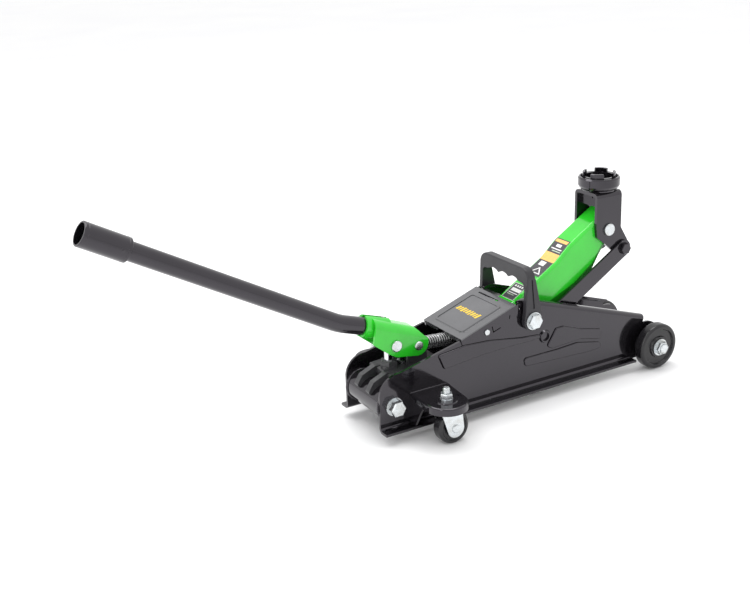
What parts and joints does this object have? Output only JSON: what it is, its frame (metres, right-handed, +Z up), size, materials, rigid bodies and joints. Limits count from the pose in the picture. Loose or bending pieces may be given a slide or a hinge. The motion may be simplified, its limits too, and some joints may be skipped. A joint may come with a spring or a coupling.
{
  "type": "trolley jack",
  "caption": "Compact hydraulic trolley jack with a lift arm and turning saddle, rear casters, a carry handle and a bent pump handle.",
  "frame": {"origin": "on the floor under the middle of the overall length and width", "axes": "+X towards the saddle and front wheels, -X towards the pump handle, +Z up, -Y the right side"},
  "size_m": [0.744, 0.21, 0.3087],
  "materials": {
    "black_paint": "gloss",
    "green_paint": "gloss",
    "bright_steel": "satin",
    "zinc": "satin",
    "chrome": "polished",
    "cast": "satin",
    "black_plastic": "satin",
    "wheel_plastic": "gloss",
    "rubber": "matt",
    "cover_metal": "gloss",
    "brass": "satin"
  },
  "bodies": {
    "frame": {"side_plate_right": "black_paint", "side_plate_left": "black_paint", "rear_cross_tube": "black_paint", "rear_bolts": "zinc", "front_axle": "zinc", "front_axle_collars": "black_paint", "front_axle_nuts": "zinc", "cover_plate": "cover_metal", "cover_screws": "zinc", "caster_bracket_right": "black_paint", "caster_bracket_left": "black_paint", "caster_studs": "zinc", "washers": "zinc", "caster_nuts": "zinc", "caster_bearings": "bright_steel", "pump_block": "cast", "pump_gland": "zinc", "pump_seal": "rubber", "check_balls": "bright_steel", "filler_plug": "zinc", "release_gland": "zinc", "cylinder_tube": "bright_steel", "reservoir_tube": "black_paint", "cylinder_gland": "bright_steel", "arm_pivot_shaft": "bright_steel", "arm_spacers": "bright_steel", "return_spring": "bright_steel", "spring_anchor_pin": "zinc", "link_low_pins": "black_paint", "carry_handle_bolts": "zinc"},
    "arm": {"lift_arm": "green_paint", "arm_pivot_tube": "green_paint", "arm_pins": "bright_steel", "lever_roller": "bright_steel"},
    "bracket": {"saddle_bracket": "black_paint", "bracket_pin": "zinc"},
    "links": {"link_bars": "black_paint", "link_top_bolt": "black_paint"},
    "saddle": {"saddle": "black_paint", "saddle_clip": "bright_steel"},
    "ram": {"ram": "chrome", "ram_seal": "rubber", "ram_head": "bright_steel"},
    "plunger": {"pump_plunger": "chrome"},
    "socket": {"handle_socket": "green_paint", "socket_pins": "zinc", "plunger_roller": "bright_steel"},
    "handle": {"handle_tube": "black_paint", "handle_sleeve": "black_paint"},
    "release_valve": {"release_valve": "zinc"},
    "carry_handle": {"carry_handle": "black_plastic"},
    "front_wheel_right": {"front_wheel_right": "wheel_plastic"},
    "front_wheel_left": {"front_wheel_left": "wheel_plastic"},
    "caster_right": {"caster_fork_right": "zinc", "caster_axle_right": "zinc"},
    "caster_left": {"caster_fork_left": "zinc", "caster_axle_left": "zinc"},
    "caster_wheel_right": {"caster_wheel_right": "wheel_plastic"},
    "caster_wheel_left": {"caster_wheel_left": "wheel_plastic"}
  },
  "joints": [
    {"name": "arm_lift", "type": "hinge", "parent": "frame", "child": "arm", "pos_m": [0.1485, 0, 0.1055], "axis": [0, -1, 0], "range_deg": [-43, 29], "deforming": ["return_spring"]},
    {"name": "bracket_level", "type": "hinge", "parent": "arm", "child": "bracket", "pos_m": [0.28565, 0, 0.18791], "axis": [0, -1, 0], "range_deg": [-29, 43]},
    {"name": "link_swing", "type": "hinge", "parent": "frame", "child": "links", "pos_m": [0.172, 0, 0.0775], "axis": [0, -1, 0], "range_deg": [-43, 29]},
    {"name": "saddle_turn", "type": "hinge", "parent": "bracket", "child": "saddle", "pos_m": [0.28565, 0, 0.2355], "axis": [0, 0, 1], "continuous": true},
    {"name": "ram_slide", "type": "slide", "parent": "frame", "child": "ram", "axis": [1, 0, 0], "range_m": [-0.036, 0.0245]},
    {"name": "pump_handle", "type": "hinge", "parent": "frame", "child": "socket", "pos_m": [0.0044, 0, 0.098], "axis": [0, 1, 0], "range_deg": [-20, 20]},
    {"name": "plunger_slide", "type": "slide", "parent": "frame", "child": "plunger", "axis": [0, 0, 1], "range_m": [-0.0105, 0.0105]},
    {"name": "handle_pull", "type": "slide", "parent": "socket", "child": "handle", "axis": [-0.9511, 0, 0.309], "range_m": [0, 0.045]},
    {"name": "release_turn", "type": "hinge", "parent": "frame", "child": "release_valve", "pos_m": [-0.009, 0.0185, 0.071], "axis": [0, 0, 1], "range_deg": [-180, 180]},
    {"name": "carry_handle_swing", "type": "hinge", "parent": "frame", "child": "carry_handle", "pos_m": [0.1485, 0, 0.1055], "axis": [0, -1, 0], "range_deg": [-5, 50]},
    {"name": "front_wheel_right_roll", "type": "hinge", "parent": "frame", "child": "front_wheel_right", "pos_m": [0.342, -0.0547, 0.03], "axis": [0, 1, 0], "continuous": true},
    {"name": "front_wheel_left_roll", "type": "hinge", "parent": "frame", "child": "front_wheel_left", "pos_m": [0.342, 0.0547, 0.03], "axis": [0, 1, 0], "continuous": true},
    {"name": "caster_right_swivel", "type": "hinge", "parent": "frame", "child": "caster_right", "pos_m": [0.001, -0.08, 0.046], "axis": [0, 0, 1], "continuous": true},
    {"name": "caster_wheel_right_roll", "type": "hinge", "parent": "caster_right", "child": "caster_wheel_right", "pos_m": [0.0065, -0.08, 0.02], "axis": [0, 1, 0], "continuous": true},
    {"name": "caster_left_swivel", "type": "hinge", "parent": "frame", "child": "caster_left", "pos_m": [0.001, 0.08, 0.046], "axis": [0, 0, 1], "continuous": true},
    {"name": "caster_wheel_left_roll", "type": "hinge", "parent": "caster_left", "child": "caster_wheel_left", "pos_m": [0.0065, 0.08, 0.02], "axis": [0, 1, 0], "continuous": true}
  ],
  "couplings": [
    {"joint": "bracket_level", "follows": "arm_lift", "ratio": -1},
    {"joint": "link_swing", "follows": "arm_lift", "ratio": 1},
    {"joint": "ram_slide", "follows": "arm_lift", "m_per_rad": 0.047},
    {"joint": "plunger_slide", "follows": "pump_handle", "m_per_rad": 0.0295}
  ]
}
